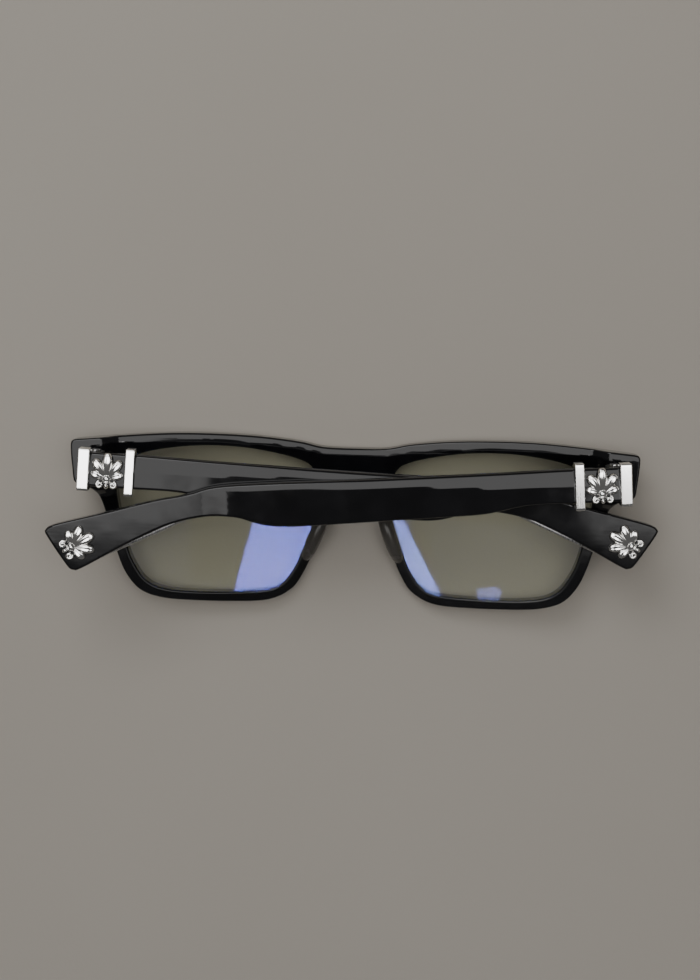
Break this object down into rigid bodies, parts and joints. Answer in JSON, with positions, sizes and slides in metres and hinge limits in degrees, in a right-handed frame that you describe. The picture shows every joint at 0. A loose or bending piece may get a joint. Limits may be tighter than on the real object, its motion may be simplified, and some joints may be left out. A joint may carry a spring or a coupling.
{
  "type": "blue light glasses",
  "caption": "Rectangular black acetate glasses with clear blue-light lenses, folded temples on five-knuckle hinges and polished metal clasp trim.",
  "frame": {"origin": "centre of the footprint of the folded glasses, on the surface that the front's outer face lies on", "axes": "+X along the front towards the hinge of the upper temple, +Y up the face towards the brow edge, +Z from the outer face of the front towards the wearer's side"},
  "size_m": [0.149, 0.0428, 0.0271],
  "materials": {
    "acetate": "hand-polished black acetate",
    "pad": "polished acetate, slightly smoky",
    "lens": "clear with a slight warm tint and a blue-violet anti-reflective coating",
    "trim_silver": "polished silver, darkened in its recesses",
    "hinge_steel": "fine satin",
    "screw_steel": "bright turned steel",
    "core_steel": "drawn wire"
  },
  "bodies": {
    "front": {"front_frame": "acetate", "nose_pad_left": "pad", "nose_pad_right": "pad", "lens_left": "lens", "lens_right": "lens", "hinge_front_left": "hinge_steel", "hinge_front_right": "hinge_steel", "hinge_rivets_front_left": "hinge_steel", "hinge_rivets_front_right": "hinge_steel", "hinge_screw_left": "screw_steel", "hinge_screw_right": "screw_steel"},
    "temple_left": {"temple_left": "acetate", "hinge_temple_left": "hinge_steel", "hinge_rivets_temple_left": "hinge_steel", "core_wire_left": "core_steel", "bar_hinge_left": "trim_silver", "bar_temple_left": "trim_silver", "ornament_hinge_left": "trim_silver", "ornament_tip_left": "trim_silver"},
    "temple_right": {"temple_right": "acetate", "hinge_temple_right": "hinge_steel", "hinge_rivets_temple_right": "hinge_steel", "core_wire_right": "core_steel", "bar_hinge_right": "trim_silver", "bar_temple_right": "trim_silver", "ornament_hinge_right": "trim_silver", "ornament_tip_right": "trim_silver"}
  },
  "joints": [
    {"name": "temple_fold_left", "type": "hinge", "parent": "front", "child": "temple_left", "pos_m": [-0.06375, 0.01351, 0.017], "axis": [-0.0523, -0.9986, 0], "range_deg": [0, 96.6]},
    {"name": "temple_fold_right", "type": "hinge", "parent": "front", "child": "temple_right", "pos_m": [0.06325, 0.01351, 0.017], "axis": [-0.075, 0.9972, 0], "range_deg": [0, 93.4]}
  ]
}
